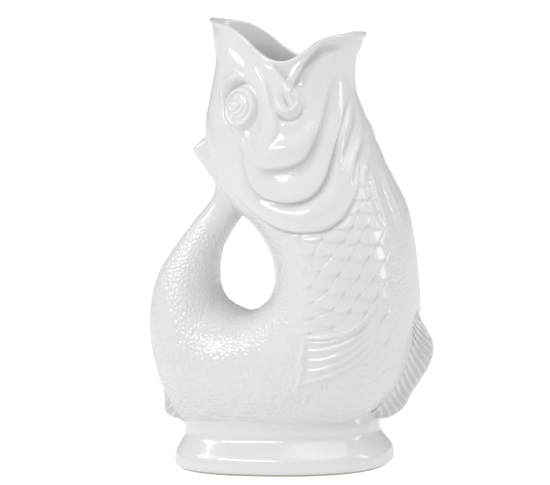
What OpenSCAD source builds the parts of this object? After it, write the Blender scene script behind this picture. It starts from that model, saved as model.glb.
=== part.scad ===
// Gurgle jug: a hollow ceramic fish that stands on its bent tail.
// +X is towards the pouring lip, -X towards the handle, +Z is up, and the table is at Z = 0.
// The origin is on the table, under the middle of the jug's length. Y = 0 is the plane of symmetry.

/* [Overall] */
// Height from the table to the tip of the upper jaw
jug_h = 248; // [200:1:300]
// Length from the back of the tail to the tip of the belly fin
jug_l = 162; // [130:1:200]
// Width across the belly
jug_w = 97; // [80:1:120]

/* [Clay] */
// Thickness of the fired wall
wall = 4.5; // [3:0.1:6]
// Thickness of the joint between a piece and the shell that it is set on
joint_gap = 0.1; // [0.05:0.05:0.2]
// How deep the corners of the mouth dip below its rim
mouth_dip = 16.4; // [8:0.2:24]

/* [Foot] */
// Length of the foot where it is widest
foot_l = 122; // [100:1:140]
// Width of the foot where it is widest
foot_w = 92; // [76:1:104]
// Length of the waist above the flare
waist_l = 108; // [90:1:120]
// Width of the waist above the flare
waist_w = 78; // [64:1:90]
// Height of the foot's sides, up to where they run into the body
foot_h = 33; // [28:0.5:38]
// Depth of the hollow under the foot
recess_h = 7; // [4:0.5:9]
// Height of the bare ring that stands on the table
ring_h = 1.2; // [0.8:0.1:2]
// Width of the bare ring
ring_w = 5; // [4:0.5:8]

/* [Eyes] */
// Width of an eye
eye_w = 19; // [14:0.5:22]
// Height of an eye
eye_h = 24; // [18:0.5:28]
// How far an eye stands out of the head
eye_rise = 3.4; // [2:0.2:5]
// Diameter of the pupil
pupil_d = 9; // [6:0.5:12]
// How far the pupil stands out of the head
pupil_rise = 5.4; // [4:0.2:7]

/* [Mouth folds] */
// Radius of a fold where it leaves the rim
fold_thin = 2.0; // [1:0.1:3]
// Radius of the curl that a fold ends in
fold_thick = 5.8; // [4:0.1:7]

/* [Gill covers] */
// Thickness of the outer plate of a gill cover
gill_t = 2.4; // [1.4:0.1:4]
// Thickness of the cheek plate inside it
cheek_t = 1.3; // [0.8:0.1:3]

/* [Fins] */
// Thickness of a pectoral fin
pectoral_t = 1.8; // [1:0.1:3]
// How far the rays stand above a pectoral fin
ray_rise = 0.8; // [0.4:0.1:1.5]
// Width of a ray where it ends
ray_w = 2.6; // [1.6:0.1:4]
// Number of rays on a pectoral fin
ray_count = 7; // [4:1:10]
// Thickness of the belly fin and the back fin at the root
fin_root_t = 7.5; // [5:0.5:10]
// Thickness of the belly fin and the back fin at the edge
fin_edge_t = 2.6; // [1.5:0.1:5]
// Number of ridges along the belly fin and the back fin
ridge_count = 9; // [5:1:14]

/* [Hidden] */
clay = "#e9eae7";
bare_clay = "#d9cdb8";

// Rings have this many points, and there are this many rings from one station to the next
around = 48;
rows_outside = 2.5;
rows_inside = 1.5;
rim_rows = 4;

// Stations down the fish, from the mouth round the bend to the end of the tail. Each row is
// [belly side x, z, back side x, z, half width, squareness]: x is a share of the length, z of
// the height and the half width of the width. Squareness 2 is an ellipse.
station_shares = [
    [ 0.281, 0.972, -0.253, 1.000, 0.250, 2.0],
    [ 0.253, 0.897, -0.232, 0.915, 0.290, 2.0],
    [ 0.253, 0.827, -0.256, 0.831, 0.345, 2.0],
    [ 0.290, 0.760, -0.272, 0.770, 0.392, 2.1],
    [ 0.327, 0.694, -0.262, 0.704, 0.428, 2.1],
    [ 0.370, 0.635, -0.228, 0.639, 0.454, 2.1],
    [ 0.404, 0.585, -0.180, 0.589, 0.474, 2.1],
    [ 0.423, 0.536, -0.105, 0.542, 0.485, 2.1],
    [ 0.435, 0.476, -0.050, 0.484, 0.495, 2.1],
    [ 0.441, 0.415, -0.037, 0.428, 0.500, 2.1],
    [ 0.443, 0.347, -0.055, 0.385, 0.500, 2.2],
    [ 0.426, 0.258, -0.090, 0.363, 0.495, 2.3],
    [ 0.352, 0.161, -0.120, 0.351, 0.474, 2.4],
    [ 0.190, 0.085, -0.145, 0.347, 0.448, 2.5],
    [-0.020, 0.052, -0.167, 0.345, 0.423, 2.5],
    [-0.228, 0.057, -0.191, 0.351, 0.397, 2.4],
    [-0.383, 0.105, -0.216, 0.361, 0.366, 2.3],
    [-0.466, 0.194, -0.241, 0.377, 0.330, 2.1],
    [-0.500, 0.298, -0.256, 0.405, 0.285, 2.0],
    [-0.491, 0.381, -0.256, 0.434, 0.242, 2.0],
    [-0.460, 0.440, -0.250, 0.460, 0.206, 2.0],
    [-0.407, 0.492, -0.237, 0.490, 0.170, 2.0],
    [-0.340, 0.546, -0.205, 0.525, 0.139, 2.0],
    [-0.290, 0.583, -0.165, 0.560, 0.118, 2.0],
    [-0.262, 0.607, -0.140, 0.590, 0.108, 2.0],
    [-0.254, 0.635, -0.165, 0.625, 0.085, 2.0],
    [-0.282, 0.663, -0.195, 0.668, 0.062, 2.0],
    [-0.312, 0.690, -0.222, 0.705, 0.044, 2.0],
    [-0.328, 0.708, -0.252, 0.735, 0.026, 2.0]];
// Rows of stations in each piece, one piece after another
head_rows = 7;
body_rows = 9;
tail_rows = 8;
fluke_rows = 4;
head_end = head_rows;
body_end = head_end + body_rows;
tail_end = body_end + tail_rows;
fluke_end = tail_end + fluke_rows;
// The hollow in the tail stops short of its neck by this many rows
neck_rows = 1.6;
// The tail and its fluke lie against this many rows of the head and body
nape_rows = 9.5;
// Rows that the top of the foot and the back fin reach, and rows that a gill cover reaches
foot_reach_rows = [7, 19.5];
gill_reach_rows = [1, 9];

// Depth of the mouth's dip, from the back side of the ring to the belly side in even steps
dip_shares = [0, 0, 0.02, 0.32, 0.72, 0.96, 0.98, 0.72, 0.30, 0.06, 0.06];
// Height between the first two stations on the belly side
mouth_pitch = 0.075 * jug_h;

// Foot: [height share of foot_h, flare share], where flare 0 is the waist and 1 the widest
foot_shares = [[0.00, 0.74], [0.03, 0.90], [0.09, 1.00], [0.20, 0.96], [0.33, 0.66],
               [0.46, 0.30], [0.58, 0.06], [0.68, 0.00], [1.00, 0.00]];
foot_square = 2.4;
foot_x = -0.042 * jug_l;
waist_x = -0.050 * jug_l;
foot_points = 64;
foot_edge_in = 2.4;

// Eyes and mouth folds lie at [station, side], where side runs from -1 at the back to 1 at the belly
eye_at = [2.22, -0.37];
pupil_at = [2.12, -0.41];
fold_path = [[0.86, -0.13], [1.14, 0.04], [1.42, 0.19], [1.76, 0.32], [2.08, 0.38], [2.34, 0.37],
             [2.52, 0.34]];
fold_shares = [0.0, 0.2, 0.4, 0.7, 1.0, 0.85, 0.1];
fold_sides = 11;
fold_rows = 2;
// How far along its path a fold looks ahead for its direction
fold_ahead = 0.1;

// Outlines on the side of the fish: x is a share of the length and z of the height
gill_outer_shares = [[-0.170, 0.735], [-0.172, 0.697], [-0.168, 0.660], [-0.136, 0.623], [-0.073, 0.587],
                     [0.015, 0.558], [0.102, 0.545], [0.163, 0.547], [0.219, 0.561], [0.262, 0.584],
                     [0.284, 0.615], [0.293, 0.646], [0.290, 0.716], [0.262, 0.790]];
gill_inner_shares = [[-0.078, 0.736], [-0.081, 0.702], [-0.071, 0.657], [-0.030, 0.622], [0.043, 0.608],
                     [0.104, 0.607], [0.153, 0.617], [0.185, 0.638], [0.206, 0.679], [0.221, 0.707],
                     [0.229, 0.757], [0.237, 0.790]];
cheek_inner_shares = [[-0.046, 0.741], [-0.040, 0.712], [-0.019, 0.692], [0.043, 0.680], [0.102, 0.686],
                      [0.137, 0.705], [0.157, 0.736], [0.176, 0.784], [0.190, 0.815]];
pectoral_shares = [[0.097, 0.193], [0.143, 0.312], [0.205, 0.311], [0.268, 0.321], [0.320, 0.342],
                   [0.348, 0.364], [0.360, 0.335], [0.351, 0.306], [0.328, 0.280], [0.258, 0.238],
                   [0.172, 0.212]];
// The rays of a pectoral fin fan out from its root to the straight edge
ray_root_shares = [[0.352, 0.350], [0.338, 0.292]];
ray_edge_shares = [[0.150, 0.306], [0.106, 0.200]];

// Belly fin and back fin: rows of [root x, z, edge x, z]
belly_fin_shares = [[0.410, 0.375, 0.428, 0.372], [0.405, 0.330, 0.456, 0.328], [0.400, 0.290, 0.496, 0.275],
                    [0.385, 0.245, 0.486, 0.232], [0.360, 0.205, 0.452, 0.194], [0.325, 0.165, 0.416, 0.161],
                    [0.285, 0.135, 0.372, 0.131], [0.235, 0.115, 0.305, 0.101]];
back_fin_shares = [[-0.440, 0.215, -0.472, 0.212], [-0.425, 0.180, -0.470, 0.176],
                   [-0.405, 0.155, -0.468, 0.150], [-0.380, 0.130, -0.464, 0.113],
                   [-0.345, 0.105, -0.412, 0.096], [-0.320, 0.090, -0.388, 0.086]];
// Thickness across a fin, from the root to the edge: [share of the way, share of the taper]
fin_section_shares = [[0.0, 1.0], [0.45, 0.75], [0.80, 0.35], [0.95, 0.10], [1.0, -0.35]];
ridge_share = 0.14;

function blend(p, q, r, s, t) =
    0.5 * (2 * q + (r - p) * t + (2 * p - 5 * q + 4 * r - s) * t * t
           + (3 * q - p - 3 * r + s) * t * t * t);
function row_of(table, i) =
    let (last = len(table) - 1)
    i < 0 ? 2 * table[0] - table[1] : i > last ? 2 * table[last] - table[last - 1] : table[i];
// A smooth curve through the rows of a table, read at row s
function along(table, s) =
    let (k = min(max(floor(s), 0), len(table) - 2))
    blend(row_of(table, k - 1), table[k], table[k + 1], row_of(table, k + 2), s - k);
function at_side(share) = [share[0] * jug_l, share[1] * jug_h];
function middle(points) = [for (p = points) 1] * points / len(points);
function power(value, exponent) = sign(value) * pow(abs(value), exponent);

// A point on the fish at station s and angle turn, where turn 0 is the belly side.
// The ring is a squared ellipse round the middle of the two side points.
function skin(s, turn, grow = 0) =
    let (q = along(station_shares, s),
         belly = [q[0] * jug_l, q[1] * jug_h],
         back = [q[2] * jug_l, q[3] * jug_h],
         half = norm(belly - back) / 2,
         out = (belly - back) / (2 * half),
         centre = (belly + back) / 2,
         p = centre + out * (half + grow) * power(cos(turn), 2 / q[5]))
    [p[0], (q[4] * jug_w + grow) * power(sin(turn), 2 / q[5]), p[1]];
function ring(s, grow = 0) = [for (i = [0 : around - 1]) skin(s, 360 * i / around, grow)];

// Rings down to the seam under the head start below the rim's round lip, which dips at the
// corners of the mouth
function rim_station(turn) =
    (wall / 2 + mouth_dip * along(dip_shares, (cos(turn) + 1) / 2 * (len(dip_shares) - 1))) / mouth_pitch;
function head_ring(share, grow, up = 0) =
    [for (i = [0 : around - 1])
        let (turn = 360 * i / around, top = rim_station(turn))
        skin(top + share * (head_end - top) - up / mouth_pitch, turn, grow)];
function steps(from, to, rows) =
    let (n = max(1, round(abs(to - from) * rows)))
    [for (i = [0 : n]) from + (to - from) * i / n];

// Skins a list of rings with triangles. Looped joins the last ring to the first; otherwise each
// end is closed round its middle.
module loft(rings, looped = false) {
    m = len(rings);
    n = len(rings[0]);
    sides = [for (i = [0 : looped ? m - 1 : m - 2], k = [0 : n - 1])
                let (j = (i + 1) % m, l = (k + 1) % n)
                each [[i * n + k, i * n + l, j * n + l], [i * n + k, j * n + l, j * n + k]]];
    ends = looped ? [] : [for (k = [0 : n - 1])
                let (l = (k + 1) % n)
                each [[m * n, l, k], [m * n + 1, (m - 1) * n + k, (m - 1) * n + l]]];
    middles = looped ? [] : [middle(rings[0]), middle(rings[m - 1])];
    polyhedron([for (r = rings) each r, each middles], concat(sides, ends), convexity = 8);
}

// The fish as a solid from one station to another, grown outwards, to set pieces against
module fish(from, to, grow = joint_gap) {
    loft([for (s = steps(from, to, rows_outside)) ring(s, grow)]);
}

module head_shell() {
    outside = steps(0, 1, head_end * rows_outside);
    inside = steps(1, 0, head_end * rows_inside);
    lip = [for (i = [1 : rim_rows - 1]) 180 * i / rim_rows];
    color(clay)
    loft([for (f = outside) head_ring(f, 0),
          for (f = inside) head_ring(f, -wall),
          for (a = lip) head_ring(0, -wall / 2 * (1 + cos(a)), wall / 2 * sin(a))], looped = true);
}

module body_shell() {
    color(clay)
    loft([for (s = steps(head_end, body_end, rows_outside)) ring(s),
          for (s = steps(body_end, head_end, rows_inside)) ring(s, -wall)], looped = true);
}

module tail_shell() {
    color(clay)
    resize([0, 0, 0])
    difference() {
        loft([for (s = steps(tail_end - neck_rows, body_end, rows_inside)) ring(s, -wall),
              for (s = steps(body_end, tail_end, rows_outside)) ring(s)]);
        fish(0, nape_rows);
    }
}

module tail_fluke() {
    color(clay)
    resize([0, 0, 0])
    difference() {
        loft([for (s = steps(tail_end, fluke_end, rows_outside)) ring(s)]);
        fish(0, nape_rows);
    }
}

// The foot's plan is a squared oval. Flare runs from 0 at the waist to 1 at the widest.
function oval(flare, z, grow) =
    let (x = waist_x + (foot_x - waist_x) * flare,
         half_l = (waist_l + (foot_l - waist_l) * flare) / 2 + grow,
         half_w = (waist_w + (foot_w - waist_w) * flare) / 2 + grow)
    [for (i = [0 : foot_points - 1])
        let (turn = -360 * i / foot_points)
        [x + half_l * power(cos(turn), 2 / foot_square), half_w * power(sin(turn), 2 / foot_square), z]];

module foot_blank(grow = 0) {
    loft([for (f = foot_shares) oval(f[1], ring_h + f[0] * (foot_h - ring_h), grow)]);
}

module pedestal_foot() {
    recess_in = -(foot_edge_in + ring_w);
    color(clay)
    resize([0, 0, 0])
    difference() {
        foot_blank();
        loft([oval(1, 0, recess_in), oval(1, ring_h, recess_in), oval(1, recess_h / 2, recess_in - recess_h / 4),
              oval(1, recess_h, recess_in - recess_h)]);
        fish(foot_reach_rows[0], foot_reach_rows[1]);
    }
}

module bare_foot_rim() {
    color(bare_clay)
    linear_extrude(height = ring_h)
    difference() {
        polygon([for (p = oval(1, 0, -foot_edge_in)) [p[0], p[1]]]);
        polygon([for (p = oval(1, 0, -foot_edge_in - ring_w)) [p[0], p[1]]]);
    }
}

// A fin in the plane of symmetry, with a ring of points round each section from the root to the
// edge. Every second ring is thicker, which makes the ridges.
module fin(table) {
    n = 2 * ridge_count;
    root = fin_root_t / 2;
    edge = fin_edge_t / 2;
    section = [for (f = fin_section_shares) [f[0], max(edge + (root - edge) * f[1], edge / 4)]];
    back_again = turned_round([for (f = section) [f[0], -f[1]]]);
    loft([for (i = [0 : n])
            let (q = along(table, i * (len(table) - 1) / n),
                 from = at_side([q[0], q[1]]),
                 to = at_side([q[2], q[3]]),
                 thick = 1 + (i % 2 == 0 ? -ridge_share : ridge_share))
            [for (f = concat(section, back_again))
                let (p = from + (to - from) * f[0])
                [p[0], -f[1] * thick, p[1]]]]);
}

module belly_fin() {
    color(clay)
    resize([0, 0, 0])
    difference() {
        fin(belly_fin_shares);
        fish(head_end, body_end);
        foot_blank(joint_gap);
    }
}

module back_fin() {
    color(clay)
    resize([0, 0, 0])
    difference() {
        fin(back_fin_shares);
        fish(foot_reach_rows[0], foot_reach_rows[1]);
        foot_blank(joint_gap);
    }
}

// The part of the grown fish that lies behind an outline, on its right side. The children are
// the outline in the plane of symmetry.
module raised(rise, from, to) {
    intersection() {
        fish(from, to, rise);
        rotate([90, 0, 0])
        linear_extrude(height = jug_w)
        children();
    }
}
module outline(shares) {
    polygon([for (p = shares) at_side(p)]);
}
function turned_round(list) = [for (i = [len(list) - 1 : -1 : 0]) list[i]];

module pectoral_fin() {
    color(clay)
    resize([0, 0, 0])
    difference() {
        union() {
            raised(pectoral_t, head_end, body_end)
            outline(pectoral_shares);
            raised(pectoral_t + ray_rise, head_end, body_end)
            for (i = [0 : ray_count - 1])
                let (f = i / (ray_count - 1),
                     root = ray_root_shares[0] + (ray_root_shares[1] - ray_root_shares[0]) * f,
                     edge = ray_edge_shares[0] + (ray_edge_shares[1] - ray_edge_shares[0]) * f,
                     half = [0, ray_w / 2 / jug_h])
                outline([root - half / 2, edge - half, edge + half, root + half / 2]);
        }
        fish(head_end, body_end);
    }
}

module gill_cover() {
    color(clay)
    resize([0, 0, 0])
    difference() {
        union() {
            raised(gill_t, gill_reach_rows[0], gill_reach_rows[1])
            outline(concat(gill_outer_shares, turned_round(gill_inner_shares)));
            raised(cheek_t, gill_reach_rows[0], gill_reach_rows[1])
            offset(delta = -gill_t)
            outline(concat(gill_outer_shares, turned_round(cheek_inner_shares)));
        }
        fish(gill_reach_rows[0], gill_reach_rows[1]);
    }
}

// The directions at a point of the right side: down the fish, round it, and out of it
function turn_of(side) = -acos(side);
function frame_at(at) =
    let (step = 0.01,
         p = skin(at[0], turn_of(at[1])),
         down = skin(at[0] + step, turn_of(at[1])) - p,
         round_it = skin(at[0], turn_of(at[1] + step)) - p,
         out = cross(round_it, down))
    [p, down / norm(down), round_it / norm(round_it), -out / norm(out)];

module dome(at, w, h, rise) {
    f = frame_at(at);
    across = cross(f[1], f[3]);
    multmatrix([[across[0], f[1][0], f[3][0], f[0][0]],
                [across[1], f[1][1], f[3][1], f[0][1]],
                [across[2], f[1][2], f[3][2], f[0][2]],
                [0, 0, 0, 1]])
    scale([w / 2, h / 2, rise])
    sphere(r = 1, $fn = 28);
}

module eye() {
    color(clay)
    resize([0, 0, 0])
    difference() {
        union() {
            dome(eye_at, eye_w, eye_h, eye_rise);
            dome(pupil_at, pupil_d, pupil_d, pupil_rise);
        }
        fish(0, head_end);
    }
}

module lip_curl() {
    n = fold_rows * (len(fold_path) - 1);
    color(clay)
    resize([0, 0, 0])
    difference() {
        loft([for (i = [0 : n])
                let (s = i / fold_rows,
                     f = frame_at(along(fold_path, s)),
                     g = frame_at(along(fold_path, s + fold_ahead)),
                     ahead = (g[0] - f[0]) / norm(g[0] - f[0]),
                     side = cross(ahead, f[3]),
                     r = fold_thin + (fold_thick - fold_thin) * along(fold_shares, s))
                [for (k = [0 : fold_sides - 1])
                    f[0] + r * (cos(360 * k / fold_sides) * f[3] + sin(360 * k / fold_sides) * side)]]);
        fish(0, head_end);
    }
}

module left() {
    mirror([0, 1, 0]) children();
}

pedestal_foot();
bare_foot_rim();
body_shell();
head_shell();
tail_shell();
tail_fluke();
belly_fin();
back_fin();
left() pectoral_fin();  // left_pectoral_fin
pectoral_fin();  // right_pectoral_fin
left() gill_cover();  // left_gill_cover
gill_cover();  // right_gill_cover
left() eye();  // left_eye
eye();  // right_eye
left() lip_curl();  // left_lip_curl
lip_curl();  // right_lip_curl
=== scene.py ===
# Gurgle jug: a white glazed fish that stands on its bent tail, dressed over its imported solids.
# +X is towards the pouring lip, -X towards the handle, and Y = 0 is the plane of symmetry.
# Shapes are worked out in millimetres and put into the meshes in metres.
import bpy
import numpy as np
from mathutils import Matrix


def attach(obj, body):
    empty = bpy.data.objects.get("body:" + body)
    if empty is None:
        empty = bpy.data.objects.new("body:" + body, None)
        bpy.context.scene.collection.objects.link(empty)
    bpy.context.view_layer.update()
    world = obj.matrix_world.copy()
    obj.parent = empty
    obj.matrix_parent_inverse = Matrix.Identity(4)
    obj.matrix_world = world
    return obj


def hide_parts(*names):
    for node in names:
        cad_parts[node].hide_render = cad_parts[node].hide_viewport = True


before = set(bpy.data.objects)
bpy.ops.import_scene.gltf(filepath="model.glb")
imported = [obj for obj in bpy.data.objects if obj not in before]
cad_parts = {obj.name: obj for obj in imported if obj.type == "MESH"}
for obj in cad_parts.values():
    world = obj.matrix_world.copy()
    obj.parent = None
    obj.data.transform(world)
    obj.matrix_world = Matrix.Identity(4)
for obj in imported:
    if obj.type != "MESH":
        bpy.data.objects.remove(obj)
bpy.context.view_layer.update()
mm = 0.001
mirrorY = np.array([1.0, -1.0, 1.0])
slopeStep = 1e-3  # stations and radians over which slopes of the skin are taken
print("frame loaded with", len(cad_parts), "nodes")

jug = {
    "height": 248.0,
    "length": 162.0,
    "width": 97.0,
    "wall": 4.5,
    "tailJoint": 4.0,
    "columns": 400,  # points round a ring, the same on every shell so that their seams meet
}

# Stations down the fish, from the mouth round the bend to the end of the tail:
# belly side x, z, back side x, z, half width, as shares of length, height and width, and squareness
stationShares = np.array([
    [0.281, 0.972, -0.253, 1.000, 0.250, 2.0],
    [0.253, 0.897, -0.232, 0.915, 0.290, 2.0],
    [0.253, 0.827, -0.256, 0.831, 0.345, 2.0],
    [0.290, 0.760, -0.272, 0.770, 0.392, 2.1],
    [0.327, 0.694, -0.262, 0.704, 0.428, 2.1],
    [0.370, 0.635, -0.228, 0.639, 0.454, 2.1],
    [0.404, 0.585, -0.180, 0.589, 0.474, 2.1],
    [0.423, 0.536, -0.105, 0.542, 0.485, 2.1],
    [0.435, 0.476, -0.050, 0.484, 0.495, 2.1],
    [0.441, 0.415, -0.037, 0.428, 0.500, 2.1],
    [0.443, 0.347, -0.055, 0.385, 0.500, 2.2],
    [0.426, 0.258, -0.090, 0.363, 0.495, 2.3],
    [0.352, 0.161, -0.120, 0.351, 0.474, 2.4],
    [0.190, 0.085, -0.145, 0.347, 0.448, 2.5],
    [-0.020, 0.052, -0.167, 0.345, 0.423, 2.5],
    [-0.228, 0.057, -0.191, 0.351, 0.397, 2.4],
    [-0.383, 0.105, -0.216, 0.361, 0.366, 2.3],
    [-0.466, 0.194, -0.241, 0.377, 0.330, 2.1],
    [-0.500, 0.298, -0.256, 0.405, 0.285, 2.0],
    [-0.491, 0.381, -0.256, 0.434, 0.242, 2.0],
    [-0.460, 0.440, -0.250, 0.460, 0.206, 2.0],
    [-0.407, 0.492, -0.237, 0.490, 0.170, 2.0],
    [-0.340, 0.546, -0.205, 0.525, 0.139, 2.0],
    [-0.290, 0.583, -0.165, 0.560, 0.118, 2.0],
    [-0.262, 0.607, -0.140, 0.590, 0.108, 2.0],
    [-0.254, 0.635, -0.165, 0.625, 0.085, 2.0],
    [-0.282, 0.663, -0.195, 0.668, 0.062, 2.0],
    [-0.312, 0.690, -0.222, 0.705, 0.044, 2.0],
    [-0.328, 0.708, -0.252, 0.735, 0.026, 2.0]])
stations = stationShares * [jug["length"], jug["height"], jug["length"], jug["height"], jug["width"], 1.0]


def readRow(table, s):
    # Catmull-Rom through rows p, q, r, w: (2q + (r-p)t + (2p-5q+4r-w)t^2 + (3q-p-3r+w)t^3) / 2
    last = len(table) - 1
    rows = np.vstack([2 * table[0] - table[1], table, 2 * table[-1] - table[-2]])
    k = np.clip(np.floor(s).astype(int), 0, last - 1)
    t = (s - k)[..., None]
    p, q, r, w = rows[k], rows[k + 1], rows[k + 2], rows[k + 3]
    return (2 * q + (r - p) * t + (2 * p - 5 * q + 4 * r - w) * t ** 2
            + (3 * q - p - 3 * r + w) * t ** 3) / 2


def signedPower(value, exponent):
    # |value| to that power, with the value's own sign
    return np.sign(value) * np.abs(value) ** exponent


def skin(s, turn, inset=0.0):
    # ring at station s, angle turn from the belly side: middle + out (half - inset) cos^(2/q),
    # y = (half width - inset) sin^(2/q)
    q = readRow(stations, s)
    belly, back = q[..., 0:2], q[..., 2:4]
    half = np.linalg.norm(belly - back, axis=-1) / 2
    out = (belly - back) / (2 * half[..., None])
    power = 2 / q[..., 5]
    p = (belly + back) / 2 + out * ((half - inset) * signedPower(np.cos(turn), power))[..., None]
    y = (q[..., 4] - inset) * signedPower(np.sin(turn), power)
    return np.stack([p[..., 0], y, p[..., 1]], -1)


def unit(v):
    # v / |v|
    return v / np.maximum(np.linalg.norm(v, axis=-1, keepdims=True), 1e-12)


def smooth(low, high, value):
    # 3t^2 - 2t^3 between low and high
    t = np.clip((value - low) / (high - low), 0, 1)
    return t * t * (3 - 2 * t)


def between(value, start, end):
    # rises over the range start and falls over the range end
    return smooth(*start, value) * (1 - smooth(*end, value))


def bell(value, width):
    # e^-(value / width)^2
    return np.exp(-(value / width) ** 2)


def skinNormal(s, turn):
    # cross product of a small step down the fish and one round it
    down = skin(s + slopeStep, turn) - skin(s - slopeStep, turn)
    roundIt = skin(s, turn + slopeStep) - skin(s, turn - slopeStep)
    return unit(np.cross(down, roundIt))


def gridNormals(p, wrap):
    # cross product of the step down the grid and the step round it
    down = np.gradient(p, axis=0)
    across = np.roll(p, -1, 1) - np.roll(p, 1, 1) if wrap else np.gradient(p, axis=1)
    return unit(np.cross(down, across))


def closeTo(points, others, reach):
    # which points lie in the box round the others, grown by that reach
    return np.all((points > others.min(0) - reach) & (points < others.max(0) + reach), -1)


def alongSegment(p, squares, a, b):
    # t from 0 to 1 is the nearest place on the segment a b, and |p - a - t (b - a)|^2 is written out
    # so that squares, |p|^2, serves every segment
    along = b - a
    reached = p @ along - a @ along
    t = np.clip(reached / max(along @ along, 1e-9), 0, 1)
    return along, t, squares - 2 * (p @ a) + a @ a - 2 * t * reached + t * t * (along @ along)


# Carving. A path runs over the fish's right side as rows of [station, side, strength], where side
# is 1 at the belly and -1 at the back. Heights are in millimetres to the left and right of the
# path, seen from outside while walking along it, and fade with the widths.
def pathLine(path, perRow=4):
    # places and strengths on the spline through the rows, at angle -arccos(side)
    table = np.array(path, float)
    t = np.linspace(0, len(table) - 1, perRow * (len(table) - 1) + 1)
    rows = readRow(table, t)
    return skin(rows[:, 0], -np.arccos(np.clip(rows[:, 1], -1, 1))), rows[:, 2]


strokeReach = 2.6  # widths at which a stroke has faded out


def stroke(points, normals, path, left, right, leftWidth, rightWidth, soft=0.6):
    # d is the distance to the right of the path, m = (1 + tanh(d / soft)) / 2, and the height is
    # strength ((1-m) left e^-(d/leftWidth)^2 + m right e^-(d/rightWidth)^2)
    line, strength = pathLine(path)
    near = closeTo(points, line, strokeReach * max(leftWidth, rightWidth))
    height = np.zeros(len(points))
    p, n = points[near], normals[near]
    nearest = np.full(len(p), np.inf)
    side, power = np.zeros(len(p)), np.zeros(len(p))
    squares, turned = (p ** 2).sum(1), np.cross(n, p)
    for a, b, powerA, powerB in zip(line[:-1], line[1:], strength[:-1], strength[1:]):
        along, t, far = alongSegment(p, squares, a, b)
        closer = far < nearest
        nearest = np.where(closer, far, nearest)
        side = np.where(closer, turned @ along - n @ np.cross(a, along), side)
        power = np.where(closer, powerA + t * (powerB - powerA), power)
    d = np.sign(side) * np.sqrt(np.maximum(nearest, 0))
    m = (1 + np.tanh(d / soft)) / 2
    height[near] = power * ((1 - m) * left * bell(d, leftWidth) + m * right * bell(d, rightWidth))
    return height


def ridge(path, rise, width):
    # the same height and width on both sides
    return {"path": path, "left": rise, "right": rise, "leftWidth": width, "rightWidth": width}


def fold(path, left, right, leftWidth, rightWidth, soft=0.6):
    # a step from one height to another, each with its own width
    return {"path": path, "left": left, "right": right, "leftWidth": leftWidth,
            "rightWidth": rightWidth, "soft": soft}


mouthStrokes = [
    # free edge of the upper lip, from the rim down to the curl
    fold([[0.55, -0.27, 0], [0.80, -0.13, 0.4], [1.09, 0.04, 0.8], [1.36, 0.17, 1], [1.64, 0.29, 1],
          [1.81, 0.35, 0.6]], -1.1, 1.8, 5.0, 6.0, 0.4),
    ridge([[0.70, -0.19, 0], [0.92, -0.06, 0.7], [1.15, 0.07, 1], [1.38, 0.18, 1], [1.62, 0.29, 1],
           [1.78, 0.38, 1], [1.94, 0.43, 0.8], [2.16, 0.455, 0.4], [2.36, 0.44, 0]], 0.8, 1.0),
    # edge of the lower lip and the hollow beside it
    ridge([[0.10, 0.70, 0.2], [0.36, 0.58, 0.8], [0.59, 0.507, 1], [0.82, 0.43, 1], [1.12, 0.35, 1],
           [1.36, 0.30, 1], [1.52, 0.29, 0.4]], 1.3, 1.4),
    fold([[0.40, 0.63, 0.3], [0.70, 0.54, 0.8], [0.98, 0.46, 1], [1.26, 0.395, 1], [1.50, 0.355, 1],
          [1.66, 0.335, 0.3]], -1.9, 0.2, 5.2, 1.2, 0.5),
]
curlStrokes = [
    ridge([[1.56, 0.06, 0], [1.84, 0.11, 0.2], [2.10, 0.14, 0.4], [2.32, 0.18, 0.8], [2.42, 0.245, 1],
           [2.36, 0.32, 1], [2.15, 0.385, 1], [1.94, 0.385, 0.9], [1.78, 0.34, 0.7]], 3.1, 1.85),
    ridge([[1.60, 0.22, 0.2], [1.86, 0.29, 1], [2.10, 0.32, 1], [2.20, 0.33, 0.5]], 1.8, 1.4),
    ridge([[2.40, 0.12, 0], [2.56, 0.16, 0.7], [2.67, 0.22, 1], [2.68, 0.28, 1], [2.58, 0.365, 1],
           [2.34, 0.44, 0.8], [2.08, 0.465, 0]], -1.1, 1.2),
    ridge([[1.80, 0.21, 0.3], [1.94, 0.24, 1], [2.10, 0.26, 1], [2.24, 0.29, 1], [2.26, 0.33, 1],
           [2.18, 0.365, 1], [2.04, 0.37, 0.8]], -1.0, 0.8),
]
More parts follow.
